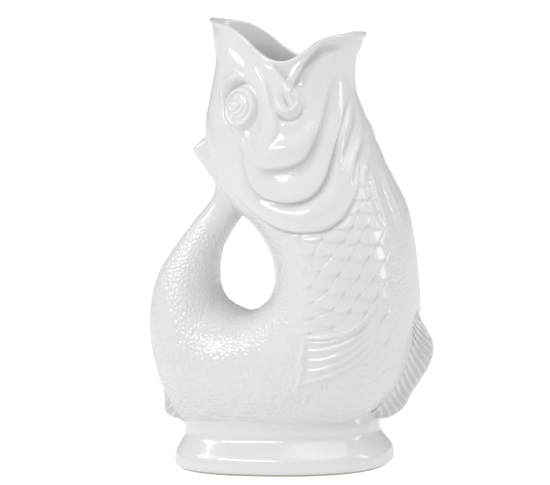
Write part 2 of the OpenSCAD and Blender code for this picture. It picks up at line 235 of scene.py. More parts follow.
faceStrokes = [
    # brow: a thumb-like bulge over the eye and another up the forehead
    ridge([[2.17, -0.62, 0], [1.88, -0.655, 0.7], [1.66, -0.65, 1], [1.50, -0.605, 1], [1.43, -0.54, 1],
           [1.47, -0.48, 0.6], [1.55, -0.43, 0]], 3.6, 2.9),
    ridge([[0.66, -0.71, 0], [0.81, -0.64, 0.9], [0.99, -0.54, 1], [1.13, -0.46, 0.6],
           [1.24, -0.39, 0]], 1.3, 2.4),
    # fold down the cheek, and the bag and pleats under the eye
    fold([[0.96, -0.29, 0], [1.22, -0.188, 0.4], [1.46, -0.07, 0.6], [1.78, 0.02, 0.9], [2.20, 0.07, 1],
          [2.63, 0.12, 1], [3.05, 0.08, 0.9], [3.44, 0.00, 0.4], [3.66, -0.06, 0]],
         -0.7, 0.7, 4.0, 6.0, 0.8),
    ridge([[2.26, -0.06, 0], [2.76, -0.07, 1], [3.26, -0.11, 0.8], [3.54, -0.15, 0]], -0.4, 1.6),
    ridge([[3.06, -0.30, 0], [3.20, -0.27, 1], [3.54, -0.23, 1], [3.90, -0.21, 0]], 0.5, 1.2),
    ridge([[3.00, -0.35, 0], [3.20, -0.33, 1], [3.60, -0.29, 1], [4.00, -0.27, 0]], -0.5, 0.8),
    ridge([[2.80, 0.08, 0], [2.86, 0.15, 1], [2.84, 0.23, 1], [2.88, 0.36, 0]], 0.4, 2.4),
    # bulge above the first groove of the cheek
    ridge([[3.86, -0.14, 0], [3.78, -0.06, 0.3], [3.68, 0.05, 0.8], [3.62, 0.18, 1], [3.50, 0.31, 1],
           [3.16, 0.43, 0.6], [2.70, 0.52, 0]], 1.7, 4.2),
]
# Outer edge of the gill cover, which also says where the scales begin
gillEdge = [[3.02, -0.85, 0], [3.72, -0.75, 0.5], [4.20, -0.71, 0.6], [4.70, -0.71, 0.6],
            [5.24, -0.67, 0.7], [5.88, -0.59, 0.9], [6.48, -0.48, 1], [6.84, -0.34, 1], [6.94, -0.09, 1],
            [6.80, 0.19, 1], [6.36, 0.43, 1], [5.68, 0.61, 0.9], [5.08, 0.73, 0.7], [4.54, 0.81, 0.4],
            [4.04, 0.89, 0]]
gillStrokes = [
    # first groove, from under the cheek up to the lower jaw
    fold([[4.26, -0.24, 0], [4.30, -0.14, 0.6], [4.28, 0.03, 0.9], [4.16, 0.19, 1], [3.94, 0.32, 1],
          [3.48, 0.45, 0.9], [3.02, 0.55, 0.75], [2.44, 0.67, 0.6], [1.76, 0.76, 0.4], [1.14, 0.84, 0.2],
          [0.66, 0.93, 0]], 0.7, -1.7, 4.0, 6.4, 0.7),
    # second groove: the edge of the cheek plate stands over the gill cover
    fold([[3.20, -0.33, 0], [3.76, -0.35, 0.3], [4.24, -0.37, 0.35], [4.80, -0.39, 0.45],
          [5.24, -0.34, 0.7], [5.50, -0.23, 0.9], [5.60, -0.04, 1], [5.42, 0.17, 1], [5.06, 0.33, 1],
          [4.64, 0.46, 1], [4.04, 0.59, 0.9], [3.50, 0.69, 0.8], [3.04, 0.78, 0.7], [2.44, 0.89, 0.5],
          [1.98, 0.96, 0.3], [1.56, 0.995, 0]], 1.0, -1.9, 7.0, 3.4, 0.5),
    ridge([[4.60, -0.55, 0], [5.60, -0.44, 0.3], [6.10, -0.30, 0.6], [6.26, -0.06, 1], [6.08, 0.17, 1],
           [5.66, 0.38, 1], [5.14, 0.54, 0.8], [4.40, 0.70, 0.4], [3.80, 0.78, 0]], 1.1, 4.6),
    fold(gillEdge, 1.5, -1.1, 6.0, 2.6, 0.5),
    # leaf-like folds between the gill cover and the throat
    ridge([[1.90, 0.99, 0], [2.20, 0.97, 0.7], [2.60, 0.92, 1], [3.00, 0.83, 1], [3.42, 0.75, 0.9],
           [3.90, 0.66, 0]], 1.1, 2.0),
    ridge([[2.14, 0.995, 0], [2.56, 0.97, 0.8], [3.08, 0.90, 1], [3.58, 0.81, 1], [4.04, 0.72, 0.6],
           [4.40, 0.66, 0]], -1.1, 1.6),
    ridge([[2.70, 0.998, 0], [3.24, 0.95, 1], [3.68, 0.88, 1], [4.18, 0.79, 1], [4.52, 0.73, 0.7],
           [4.90, 0.67, 0]], 1.2, 1.9),
    ridge([[3.10, 0.998, 0], [3.50, 0.95, 0.8], [3.95, 0.87, 1], [4.40, 0.79, 1], [4.90, 0.72, 0.4],
           [5.30, 0.67, 0]], -1.0, 1.5),
    ridge([[3.30, 0.999, 0], [3.74, 0.975, 0.8], [4.22, 0.91, 1], [4.72, 0.82, 1], [5.20, 0.76, 0.5],
           [5.70, 0.70, 0]], 1.0, 1.7),
]
throatStrokes = [
    ridge([[4.30, 0.95, 0], [4.70, 0.91, 0.8], [5.34, 0.88, 1], [6.12, 0.86, 1], [6.78, 0.86, 0.6],
           [7.30, 0.86, 0]], 0.9, 1.6),
    ridge([[4.60, 0.97, 0], [5.20, 0.945, 1], [6.00, 0.935, 1], [6.90, 0.935, 0.5], [7.60, 0.94, 0]],
          -0.7, 1.5),
    ridge([[5.20, 0.83, 0], [5.80, 0.79, 1], [6.40, 0.77, 0.9], [7.00, 0.77, 0]], 0.6, 1.4),
    ridge([[4.20, 1.0, 0], [5.00, 0.985, 0.8], [6.20, 0.98, 1], [7.20, 0.98, 0.4], [8.20, 0.985, 0]],
          0.6, 1.7),
]
pectoralStrokes = [
    ridge([[11.10, -0.06, 0.8], [10.88, 0.08, 1], [10.72, 0.19, 1], [10.54, 0.32, 1], [10.26, 0.44, 1],
           [10.00, 0.54, 0.8], [9.70, 0.63, 0]], 1.5, 1.0),
    ridge([[11.25, -0.05, 0.7], [11.07, 0.07, 1], [10.90, 0.17, 1], [10.64, 0.31, 0.9],
           [10.40, 0.42, 0.9], [10.12, 0.52, 0.3], [9.95, 0.57, 0]], 1.2, 0.95),
    ridge([[11.58, -0.04, 0.6], [11.40, 0.05, 1], [11.22, 0.14, 1], [10.90, 0.31, 0.9],
           [10.56, 0.45, 0.8], [10.28, 0.55, 0.3], [10.12, 0.60, 0]], 1.1, 1.05),
    ridge([[11.92, -0.02, 0.6], [11.70, 0.09, 1], [11.54, 0.16, 1], [11.18, 0.32, 0.9],
           [10.78, 0.46, 0.8], [10.46, 0.56, 0.3], [10.30, 0.61, 0]], 1.0, 1.1),
    ridge([[12.24, 0.04, 0.6], [12.04, 0.12, 1], [11.86, 0.18, 1], [11.46, 0.33, 0.9],
           [11.00, 0.48, 0.9], [10.66, 0.58, 0.4], [10.45, 0.63, 0]], 1.0, 1.1),
    ridge([[12.62, 0.12, 0.6], [12.16, 0.22, 1], [11.78, 0.33, 1], [11.36, 0.46, 0.9],
           [11.04, 0.55, 0.9], [10.62, 0.63, 0.5], [10.35, 0.67, 0]], 1.1, 1.2),
    ridge([[11.00, -0.10, 0.5], [11.20, -0.09, 1], [11.66, -0.05, 1], [12.16, 0.01, 1], [12.74, 0.14, 0.6],
           [12.90, 0.18, 0]], 1.0, 1.3),
]

# That edge from its fifth row on, run on to the back and the belly: station and side, in order of side
scalesFrom = np.array([[3.4, -1], [4.6, -0.74]] + [row[:2] for row in gillEdge[4:]]
                      + [[3.48, 0.96], [3.2, 1]])

scaleSizes = {
    "firstAt": [6.08, 0.5],  # station and side from which the rows of large scales are counted
    "pitch": 0.64,          # stations from one large row to the next
    "tilt": 0.35,           # how much sooner a row comes towards the back
    "degrees": 13.85,       # width of a large scale, as an angle round the fish
    "shift": 0.5,           # widths from the middle of the belly to the first scale's side
    "lean": -0.78,          # how far a side runs back over one row, in widths
    "soft": 0.075,          # half width of the step at a free edge, in rows
    "rowWarp": (0.16, 13.0, 2.9),     # how far the rows wander, over how many millimetres, and salt
    "columnWarp": (0.24, 11.0, 7.7),
    "rise": 1.6,
    "level": 0.45,          # share of the rise that is cut in rather than laid on
    "pebble": (2.6, 1.7),   # size and salt
    "pebbleGap": 0.42,      # how broad the grooves between pebbles are, as a share of a pebble
    "pebbleLevel": 0.6,
    "pebbleRise": 0.30,
    "backLess": 0.4,        # share by which they are lower at the back, and at the throat
    "throatLess": 0.7,
    "pebbleLow": 0.22,      # how much more they rise at the lower front
    "speckle": (1.6, 5.3),
    "mottle": 0.05,
    "ripplesAt": [10.1, 0.60],
    "ripplePitch": 3.4,
    "rippleColumns": 7.0,
    "rippleLean": -0.5,
    "rippleSoft": 0.25,
    "rippleRise": 1.1,
}
# Where each kind lies, as ranges over which it comes or goes: in millimetres from the pectoral fin,
# in stations, or in side
scalePlaces = {
    "pastGill": (0.04, 0.40), "inFin": (-0.8, 0.8),
    "largeSide": ((-0.42, -0.12), (0.78, 0.95)), "largeEnd": (10.6, 11.4),
    "rippledSide": ((0.30, 0.55), (0.90, 0.98)), "rippled": ((10.3, 10.9), (13.4, 14.6)),
    "pebbledEnd": (21.6, 23.0), "throat": (0.90, 0.98), "nape": (0.62, 0.88), "napeEnd": (8.4, 9.6),
    "low": ((11.0, 12.6), (16.0, 18.0)), "lowSide": (-0.35, 0.1), "back": (0.5, 0.9),
}
# One scale, in rows and in shares of its rise
oneScale = {"arc": 0.26, "arcPower": 2.4, "unevenEdge": 0.12, "least": 0.85, "uneven": 0.3,
            "slope": 0.62, "length": 1.3, "dome": 0.10, "groove": 0.30, "grooveWidth": 0.11,
            "grooveFrom": (-0.05, 0.4), "cornerSoft": 1.6, "cornerPower": 4}


def hashed(i, j, salt):
    # fractional part of sin(i a + j b + salt) c, from 0 to 1
    return np.modf(np.abs(np.sin(i * 12.9898 + j * 78.233 + salt) * 43758.5453))[0]


def scaleField(p, q, lean, soft):
    # row k covers what lies below its free edge at k + 1 + arc (1/2 - span^2.4), span being 0 in the
    # middle of a scale and 1 at its sides; it rises towards that edge, bulges, and grooves part its
    # scales above the edge
    z = oneScale
    top = np.floor(p)
    height = np.zeros_like(p)
    for k in (top + 1, top, top - 1):
        across = q + k + lean * p
        column = np.floor(across)
        uneven = hashed(k, column, 3.1)
        span = np.abs(2 * (across - column) - 1)
        depth = k + 1 + z["arc"] * (0.5 - span ** z["arcPower"]) + z["unevenEdge"] * (uneven - 0.5) - p
        slope = 1 - z["slope"] * np.clip(depth, 0, z["length"])
        groove = z["groove"] * bell(1 - span, z["grooveWidth"]) * smooth(*z["grooveFrom"], depth)
        rise = (z["least"] + z["uneven"] * uneven) * slope - z["dome"] * span ** 2 - groove
        spread = soft * (1 + z["cornerSoft"] * span ** z["cornerPower"])
        height += (rise - height) * smooth(-spread, spread, depth)
    return height


def valueNoise(points, size, salt):
    # smooth blend of hashed values at the corners of a lattice of that size, from -1 to 1
    g = points / size
    base = np.floor(g)
    f = g - base
    f = f * f * (3 - 2 * f)
    total = np.zeros(len(points))
    for corner in np.ndindex(2, 2, 2):
        c = base + corner
        value = hashed(c[:, 0] + 57.0 * c[:, 2], c[:, 1], salt)
        weight = np.prod(np.where(np.array(corner) == 1, f, 1 - f), axis=1)
        total += value * weight
    return 2 * total - 1


def pebbles(points, size, salt, margin=0.1):
    # one hashed point to each lattice cell, that far in from its sides: second nearest distance less
    # the nearest, which is 0 on borders
    g = points / size
    base = np.floor(g)
    first = np.full(len(points), np.inf)
    second = first.copy()
    for corner in np.ndindex(3, 3, 3):
        c = base + corner - 1
        at = np.stack([hashed(c[:, 0] + 57.0 * c[:, 2], c[:, 1], salt + k) for k in range(3)], -1)
        far = ((g - c - margin - (1 - 2 * margin) * at) ** 2).sum(1)
        second = np.minimum(second, np.maximum(first, far))
        first = np.minimum(first, far)
    return np.sqrt(second) - np.sqrt(first)


def scaleHeight(s, side, turn, points):
    # large scales on the side, small ones in ripples round the pectoral fin, and pebbles elsewhere
    z, at = scaleSizes, scalePlaces
    past = smooth(*at["pastGill"], s - np.interp(side, scalesFrom[:, 1], scalesFrom[:, 0])) \
        * (1 - smooth(*at["inFin"], insideOf(outlines["pectoral_fin"], s, turn, points)))
    large = past * between(side, *at["largeSide"]) * (1 - smooth(*at["largeEnd"], s))
    rowWarp, columnWarp = [amount * valueNoise(points, size, salt)
                           for amount, size, salt in (z["rowWarp"], z["columnWarp"])]
    p = (s + z["tilt"] * (z["firstAt"][1] - side) - z["firstAt"][0]) / z["pitch"] + rowWarp
    q = np.degrees(np.arccos(side)) / z["degrees"] + z["shift"] + columnWarp
    big = scaleField(p, q, z["lean"], z["soft"]) - z["level"]
    place, down, across = frameAt(z["ripplesAt"])[:3]
    gap = points - place
    angle = np.arctan2(gap @ down, gap @ across)
    far = np.linalg.norm(gap, axis=1)
    ripple = scaleField(far / z["ripplePitch"], angle * z["rippleColumns"] / np.pi, z["rippleLean"],
                        z["rippleSoft"]) - z["level"]
    rippled = between(side, *at["rippledSide"]) * between(s, *at["rippled"])
    small = smooth(0, z["pebbleGap"], pebbles(points, *z["pebble"])) - z["pebbleLevel"]
    speckle = valueNoise(points, *z["speckle"])
    rest = past * (1 - large) * (1 - smooth(*at["pebbledEnd"], s)) \
        * (1 - z["throatLess"] * smooth(*at["throat"], side)) \
        * (1 - smooth(*at["nape"], -side) * (1 - smooth(*at["napeEnd"], s)))
    low = between(s, *at["low"]) * smooth(*at["lowSide"], side)
    pebbled = z["pebbleRise"] * (1 - z["backLess"] * smooth(*at["back"], -side)) + z["pebbleLow"] * low
    return large * z["rise"] * big \
        + rest * (rippled * z["rippleRise"] * ripple + (1 - rippled) * pebbled * small
                  + z["mottle"] * speckle)


eye = {
    "at": [2.27, -0.352], "halfWidth": 9.9, "halfHeight": 12.4,
    "tilt": 0.13,  # how far its foot turns to the belly side, in radians
    "deep": 13.0,  # half depth of the form that cuts its outline from the head
    "grow": 1.05,  # size of its patch, as a share of its own
    "rise": 3.3,
    # places and widths as shares of the way out to its outline
    "shoulder": 0.80, "outline": 1.03, "ring": 0.3, "ringWidth": 0.12,
    "groove": 0.9, "grooveAt": 0.62, "grooveWidth": 0.075,
    "moat": 0.1, "socket": 1.8, "socketFrom": (0.2, 1.2), "moatAt": 1.14, "moatWidth": 0.11,
    "moatEnd": 1.8, "leastOut": 0.2,
    # in millimetres
    "iris": 4.3, "irisRise": 0.7, "irisWidth": 0.7, "pupil": 2.7, "pupilRise": 1.6, "pupilUp": 0.6,
    "pupilBack": 1.4,
}


def frameAt(at):
    # place on the skin with unit directions down the fish, across to the belly side, and outwards
    s, turn = np.array(at[0]), -np.arccos(np.array(at[1]))
    place = skin(s, turn)
    out = skinNormal(s, turn)
    down = unit(skin(s + slopeStep, turn) - place)
    return place, down, unit(np.cross(out, down)), out


def eyeHeight(points):
    # r is 1 on the eye's outline: a disc with a rounded shoulder, a groove, an iris ring and a
    # pupil, in a moat that is deepest under the brow
    e = eye
    place, down, across, out = frameAt(e["at"])
    gap = points - place
    a, b, c = gap @ across, gap @ down, gap @ out
    a, b = a - e["tilt"] * b, b + e["tilt"] * a
    r = np.sqrt((a / e["halfWidth"]) ** 2 + (b / e["halfHeight"]) ** 2 + (c / e["deep"]) ** 4)
    inner = np.sqrt((a + e["pupilBack"]) ** 2 + (b + e["pupilUp"]) ** 2)
    height = e["rise"] * (1 - smooth(e["shoulder"], e["outline"], r)) \
        + e["ring"] * bell(r - e["shoulder"], e["ringWidth"]) \
        - e["groove"] * bell(r - e["grooveAt"], e["grooveWidth"]) \
        + e["irisRise"] * bell(inner - e["iris"], e["irisWidth"]) \
        + e["pupilRise"] * np.exp(-(inner / e["pupil"]) ** 4)
    above = (-a / e["halfWidth"] - b / e["halfHeight"]) / np.maximum(r, e["leastOut"])
    moat = (e["moat"] + e["socket"] * smooth(*e["socketFrom"], above)) * bell(r - e["moatAt"], e["moatWidth"])
    return np.where(r < e["moatEnd"], height - moat, 0.0)


mouth = {
    "dip": 16.4,
    "pitch": 0.075 * jug["height"],
    # how much of the dip the rim has, read from the back of the mouth to the pouring lip
    "dipShares": [-0.15, -0.08, 0.02, 0.32, 0.72, 0.96, 0.98, 0.72, 0.30, 0.09, 0.02],
    "thin": 0.66,           # share of the wall that the rim has
    # each form's height and width, and the range of side over which it comes
    "roll": 1.45, "rollWidth": 1.4, "rollShare": 0.75, "lowerShare": 0.5, "lower": (0.2, 0.55),
    "under": 1.3, "underWidth": 2.8, "underAt": 5.5,
    "flare": 0.8, "flareFrom": (0.70, 1.0), "pull": 1.5, "pullFrom": (0.6, 1.0), "flareWidth": 9.0,
    "chin": 2.4, "chinWidth": 3.6, "chinFrom": (0.80, 1.0),
    "carvedFrom": (-0.5, 4.0),  # millimetres below the rim over which the carving comes in
}


def rimStation(side):
    # half the wall plus the dip times its share at that side, counted in stations
    shares = np.array(mouth["dipShares"])[:, None]
    place = (side + 1) / 2 * (len(shares) - 1)
    return (jug["wall"] / 2 + mouth["dip"] * readRow(shares, place)[..., 0]) / mouth["pitch"]


def rimHeight(below, side):
    # a rolled edge, the pouring lip flared and the back pulled in, each e^-(below/width)^2, and a
    # hollow and a chin under the lower lip
    m = mouth
    lower = smooth(*m["lower"], side)
    lean = m["flare"] * smooth(*m["flareFrom"], side) - m["pull"] * smooth(*m["pullFrom"], -side)
    return m["roll"] * (m["rollShare"] + m["lowerShare"] * lower) * bell(below, m["rollWidth"]) \
        - m["under"] * lower * bell(below - m["underAt"], m["underWidth"]) \
        + lean * bell(below, m["flareWidth"]) \
        + m["chin"] * smooth(*m["chinFrom"], side) * bell(below - m["underAt"], m["chinWidth"])


def relief(s, turn, points, normals):
    # every carved height, in millimetres along the skin's normal
    side = np.cos(turn)
    below = (s - rimStation(side)) * mouth["pitch"]
    sign = np.where(points[:, 1:2] > 0, mirrorY, 1.0)
    p, n = points * sign, normals * sign
    height = np.zeros(len(p))
    for one in mouthStrokes + curlStrokes + faceStrokes + gillStrokes + throatStrokes + pectoralStrokes:
        height += stroke(p, n, **one)
    return height * smooth(*mouth["carvedFrom"], below) + rimHeight(below, side) \
        + scaleHeight(s, side, turn, p) + eyeHeight(p)


print("carving set out")


# Patches laid on the skin. Each has an outline of [station, angle] rows on the right side.
def readEdge(edge, count):
    # station and angle along an edge given as [station, side] rows
    table = np.array(edge, float)
    table[:, 1] = -np.arccos(np.clip(table[:, 1], -1, 1))
    return readRow(table, np.linspace(0, len(table) - 1, count))


def ruledPatch(first, second, rows, columns):
    # station and angle blended evenly from one edge to the other
    a, b = readEdge(first, rows)[:, None], readEdge(second, rows)[:, None]
    f = np.linspace(0, 1, columns)[None, :, None]
    return a * (1 - f) + b * f


def discPatch(at, halfAcross, halfDown, tilt, count):
    # square to disc: x = i sqrt(1 - j^2 / 2), y = j sqrt(1 - i^2 / 2), scaled by the skin's steps
    j, i = np.meshgrid(np.linspace(-1, 1, count), np.linspace(-1, 1, count), indexing="ij")
    x, y = i * np.sqrt(1 - j * j / 2), j * np.sqrt(1 - i * i / 2)
    s, turn = np.array(at[0]), -np.arccos(np.array(at[1]))
    perStation = np.linalg.norm(skin(s + slopeStep, turn) - skin(s - slopeStep, turn)) / (2 * slopeStep)
    perRadian = np.linalg.norm(skin(s, turn + slopeStep) - skin(s, turn - slopeStep)) / (2 * slopeStep)
    x, y = x * halfAcross, y * halfDown
    return np.stack([s + (y - tilt * x) / perStation, turn + (x + tilt * y) / perRadian], -1)


def boundaryOf(rowCount, columnCount):
    # numbers of the grid's edge points, once round
    i = np.arange(rowCount * columnCount).reshape(rowCount, columnCount)
    return np.concatenate([i[:-1, 0], i[-1, :-1], i[:0:-1, -1], i[0, :0:-1]])


def outlineOf(patch, about=110):
    # about that many of the patch's edge points
    edge = patch.reshape(-1, 2)[boundaryOf(*patch.shape[:2])]
    return edge[::max(1, len(edge) // about)]


def insideOf(outline, s, turn, points):
    # distance to the outline in millimetres, positive within it and never past the limit; within
    # means that a line along the stations crosses the outline an odd number of times
    limit = patchSize["limit"]
    turn = -np.abs(turn)
    p = points * np.where(points[:, 1:2] > 0, mirrorY, 1.0)
    line = skin(outline[:, 0], outline[:, 1])
    result = np.full(len(points), -limit)
    near = closeTo(p, line, patchSize["reach"])
    p, s, turn = p[near], s[near], turn[near]
    nearest = np.full(len(p), np.inf)
    odd = np.zeros(len(p), bool)
    squares = (p ** 2).sum(1)
    for a, b, flatA, flatB in zip(line, np.roll(line, -1, 0), outline, np.roll(outline, -1, 0)):
        nearest = np.minimum(nearest, alongSegment(p, squares, a, b)[2])
        crosses = (flatA[1] > turn) != (flatB[1] > turn)
        rise = flatB[1] - flatA[1] if flatB[1] != flatA[1] else 1e-9
        odd ^= crosses & (s < flatA[0] + (turn - flatA[1]) / rise * (flatB[0] - flatA[0]))
    result[near] = np.where(odd, 1, -1) * np.minimum(np.sqrt(np.maximum(nearest, 0)), limit)
    return result


patchSize = {"thickness": 1.7, "tuck": 0.8, "tuckWidth": 1.3, "bed": 0.6, "bedWidth": 2.0,
             "thickFrom": (-0.15, 0.85), "reach": 6.0, "limit": 9.0}

gillPatch = ruledPatch(
    [[2.95, -0.47], [3.40, -0.40], [3.90, -0.33], [4.26, -0.20], [4.28, 0.03], [4.14, 0.20],
     [3.86, 0.35], [3.40, 0.47], [2.90, 0.58], [2.30, 0.70], [1.80, 0.79]],
    [[3.00, -0.82], [3.90, -0.77], [4.90, -0.73], [5.98, -0.61], [6.90, -0.38], [7.04, -0.05],
     [6.80, 0.28], [6.20, 0.50], [5.40, 0.68], [4.40, 0.84], [3.00, 0.965]], rows=260, columns=120)
pectoralPatch = ruledPatch(
    [[9.60, 0.66], [9.86, 0.59], [10.10, 0.52], [10.34, 0.44], [10.60, 0.31], [10.78, 0.18],
     [10.94, 0.06], [11.06, -0.12]],
    [[10.50, 0.68], [10.90, 0.62], [11.20, 0.55], [11.46, 0.50], [11.84, 0.38], [12.20, 0.27],
     [12.56, 0.19], [12.90, 0.14]], rows=170, columns=190)
curlPatch = ruledPatch(
    [[1.16, -0.12], [1.30, -0.09], [1.52, -0.03], [1.76, 0.04], [2.10, 0.06], [2.46, 0.10], [2.72, 0.20]],
    [[1.18, 0.10], [1.30, 0.19], [1.46, 0.28], [1.64, 0.37], [1.86, 0.47], [2.26, 0.50], [2.66, 0.42]],
    rows=210, columns=110)
eyePatch = discPatch(eye["at"], eye["halfWidth"] * eye["grow"], eye["halfHeight"] * eye["grow"], eye["tilt"],
                    count=150)
patches = {"gill_cover": gillPatch, "pectoral_fin": pectoralPatch, "lip_curl": curlPatch, "eye": eyePatch}
outlines = {name: outlineOf(patch) for name, patch in patches.items()}


def sampled(s, turn):
    # place, normal and carved height on the fish at arrays of station and angle
    shape = s.shape
    flatS, flatTurn = s.ravel(), turn.ravel()
    p = skin(flatS, flatTurn)
    n = skinNormal(flatS, flatTurn)
    h = relief(flatS, flatTurn, p, n)
    return p.reshape(shape + (3,)), n.reshape(shape + (3,)), h.reshape(shape)


def bedded(s, turn, p):
    # how far the skin gives way under the patches
    flat = p.reshape(-1, 3)
    give = np.zeros(len(flat))
    for outline in outlines.values():
        inside = insideOf(outline, s.ravel(), turn.ravel(), flat)
        give = np.maximum(give, patchSize["bed"] * smooth(0, patchSize["bedWidth"], inside))
    return give.reshape(s.shape)


def gridQuads(rowCount, columnCount, wrapRows, wrapColumns):
    # quads wound so that (down the rows) x (along the columns) is their normal
    i = np.arange(rowCount if wrapRows else rowCount - 1)[:, None]
    j = np.arange(columnCount if wrapColumns else columnCount - 1)[None, :]
    below, beside = (i + 1) % rowCount * columnCount, (j + 1) % columnCount
    quads = [i * columnCount + j, below + j, below + beside, i * columnCount + beside]
    return np.stack(np.broadcast_arrays(*quads), -1).reshape(-1, 4)


def tubeFaces(rowCount, columnCount, wrapRows=False):
    # quads all round, and a cap at each end unless the last row joins the first
    faces = list(gridQuads(rowCount, columnCount, wrapRows, True))
    if not wrapRows:
        cap = np.arange(columnCount)
        faces += [cap, (rowCount - 1) * columnCount + cap[::-1]]
    return faces


def addMesh(name, vertices, faces):
    # mesh from those vertices and faces, put into the scene
    mesh = bpy.data.meshes.new(name)
    mesh.from_pydata(vertices, [], [list(f) for f in faces])
    thing = bpy.data.objects.new(name, mesh)
    bpy.context.scene.collection.objects.link(thing)
    return thing, mesh


def addPiece(name, node, vertices, faces, normals, slotName, poolAndShade):
    # mesh in metres with its own smooth normals; pool is how deep in a groove each point lies, and so how far
    # pooled glaze and painted shade darken its colour
    piece, mesh = addMesh(name, vertices * mm, faces)
    mesh.validate()
    mesh.polygons.foreach_set("use_smooth", np.ones(len(mesh.polygons), bool))
    mesh.normals_split_custom_set_from_vertices(unit(normals))
    layer = mesh.attributes.new("poolAndShade", "FLOAT", "POINT")
    layer.data.foreach_set("value", poolAndShade.ravel())
    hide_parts(node)
    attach(piece, "root")
    mesh.materials.append(finishes[slotName])
    print(name, len(mesh.polygons), "faces")


# Joints. A piece that runs into the fish covers its own smooth union with it,
# smin(a, b) = mix(b, a, h) - k h (1 - h) with h = 1/2 + (b - a) / 2k, where a is the distance to the
# piece and b that to the fish, both taken as planes near the point. What lies t deep in the fish starts
# t further out, so that it lands t along the fillet, and past the fillet it sinks under the skin.
joint = {
    "facing": (-0.6, -0.1),  # cosine between the two surfaces over which a point turns towards the fish
    "past": 1.15,            # widths k at which the fillet ends
    "rounds": 5,
    "sink": 0.15, "sinkFrom": (0.35, 0.9), "deepSink": 0.5, "deepFrom": (0.9, 1.15), "most": 3.0,
    "leastSlope": 0.3, "settle": 0.3,
}


def fishCloud(low, high, rowCount, columnCount):
    # places and normals of the plain skin, on an even grid
    around = np.linspace(-np.pi, np.pi, columnCount, endpoint=False)
    s, turn = np.meshgrid(np.linspace(low, high, rowCount), around, indexing="ij")
    return skin(s, turn), skinNormal(s, turn)


def planeAt(points, cloud, every=4, chunk=4000):
    # distance to the plane of the nearest sample, and that plane's normal: nearest among every
    # fourth sample both ways, then among that sample's neighbours
    places, normals = cloud
    rowCount, columnCount = places.shape[:2]
    coarse = places[::every, ::every].reshape(-1, 3)
    squares, short = (coarse ** 2).sum(1), 2 * coarse.T
    nearest = np.zeros(len(points), int)
    for start in range(0, len(points), chunk):
        part = points[start:start + chunk]
        nearest[start:start + chunk] = np.argmin(squares - part @ short, axis=1)
    i, j = np.divmod(nearest, len(range(0, columnCount, every)))
    i, j = every * i, every * j
    best = np.full(len(points), np.inf)
    bestI, bestJ = i, j
    for stepI, stepJ in np.ndindex(2 * every + 1, 2 * every + 1):
        tryI = np.clip(i + stepI - every, 0, rowCount - 1)
        tryJ = (j + stepJ - every) % columnCount
        far = ((points - places[tryI, tryJ]) ** 2).sum(1)
        closer = far < best
        best = np.where(closer, far, best)
        bestI, bestJ = np.where(closer, tryI, bestI), np.where(closer, tryJ, bestJ)
    normal = normals[bestI, bestJ]
    return ((points - places[bestI, bestJ]) * normal).sum(1), normal


def meet(points, normals, cloud, k):
    # k may differ from point to point; five steps go down the union's slope, and then the point is
    # moved to the fish's own plane there
    z = joint
    flat, own = points.reshape(-1, 3).copy(), unit(normals.reshape(-1, 3))
    k = np.broadcast_to(k, points.shape[:2]).ravel()
    near = closeTo(flat, cloud[0].reshape(-1, 3), k.max())
    p, n, k = flat[near], own[near], k[near]
    deep, first = planeAt(p, cloud)
    facing = smooth(*z["facing"], (n * first).sum(1))
    t = np.maximum(-deep, 0)
    out = np.minimum(t, z["past"] * k)
    place = p + n * (out * facing)[:, None]
    b, other = planeAt(place, cloud)
    a = out * facing
    for _ in range(z["rounds"]):
        h = np.clip(0.5 + 0.5 * (b - a) / k, 0, 1)
        least = b + (a - b) * h - k * h * (1 - h)
        g = h[:, None] * n + (1 - h)[:, None] * other
        step = (facing * least / np.maximum((g * g).sum(1), z["leastSlope"]))[:, None] * g
        place -= step
        a, b = a - (step * n).sum(1), b - (step * other).sum(1)
    true, other = planeAt(place, cloud)
    under = z["sink"] * smooth(*z["sinkFrom"], t / k) + z["deepSink"] * smooth(*z["deepFrom"], t / k) \
        + np.clip(t - z["past"] * k, 0, z["most"]) + (1 - facing) * smooth(0, 1, t)
    place += ((b - true) * smooth(0, z["settle"], t / k) - under)[:, None] * other
    flat[near] = place
    own[near] = unit(h[:, None] * n + (1 - h)[:, None] * other)
    return flat.reshape(points.shape), own.reshape(points.shape)


# Finishes. White glaze lies thin on the ridges and pools a little darker in the grooves, where that darker
# tone is also painted shade; the clay under the foot is dry and speckled.
class Socket:
    tree = None

    def __init__(self, socket):
        self.socket = socket

    @staticmethod
    def made(kind, settings, *inputs):
        # a node of that kind, its settings first, and then values or sockets to its inputs in order
        node = Socket.tree.nodes.new(kind)
        for key, value in settings.items():
            setattr(node, key, value)
        for slotNumber, value in enumerate(inputs):
            if isinstance(value, Socket):
                Socket.tree.links.new(value.socket, node.inputs[slotNumber])
            elif value is not None:
                node.inputs[slotNumber].default_value = value
        return node

    def maths(self, operation, other, flip=False):
        # Math node on the two values, the other one first if flip
        pair = (other, self) if flip else (self, other)
        return Socket(Socket.made("ShaderNodeMath", {"operation": operation}, *pair).outputs[0])

    def __add__(self, other):
        return self.maths("ADD", other)

    def __sub__(self, other):
        return self.maths("SUBTRACT", other)

    def __rsub__(self, other):
        return self.maths("SUBTRACT", other, True)

    def __mul__(self, other):
        return self.maths("MULTIPLY", other)

    __radd__ = __add__
    __rmul__ = __mul__


def noise(scale, detail=2.0, roughness=0.5):
    # noise on the piece's own Object coordinates
    coordinates = Socket(Socket.made("ShaderNodeTexCoord", {}).outputs["Object"])
    node = Socket.made("ShaderNodeTexNoise", {}, coordinates, None, scale, detail, roughness)
    return Socket(node.outputs[0])


def ramp(value, low, high, lowOut, highOut):
    # eases from lowOut at low to highOut at high
    node = Socket.made("ShaderNodeMapRange", {"interpolation_type": "SMOOTHSTEP"}, value, low, high,
                       lowOut, highOut)
    return Socket(node.outputs[0])


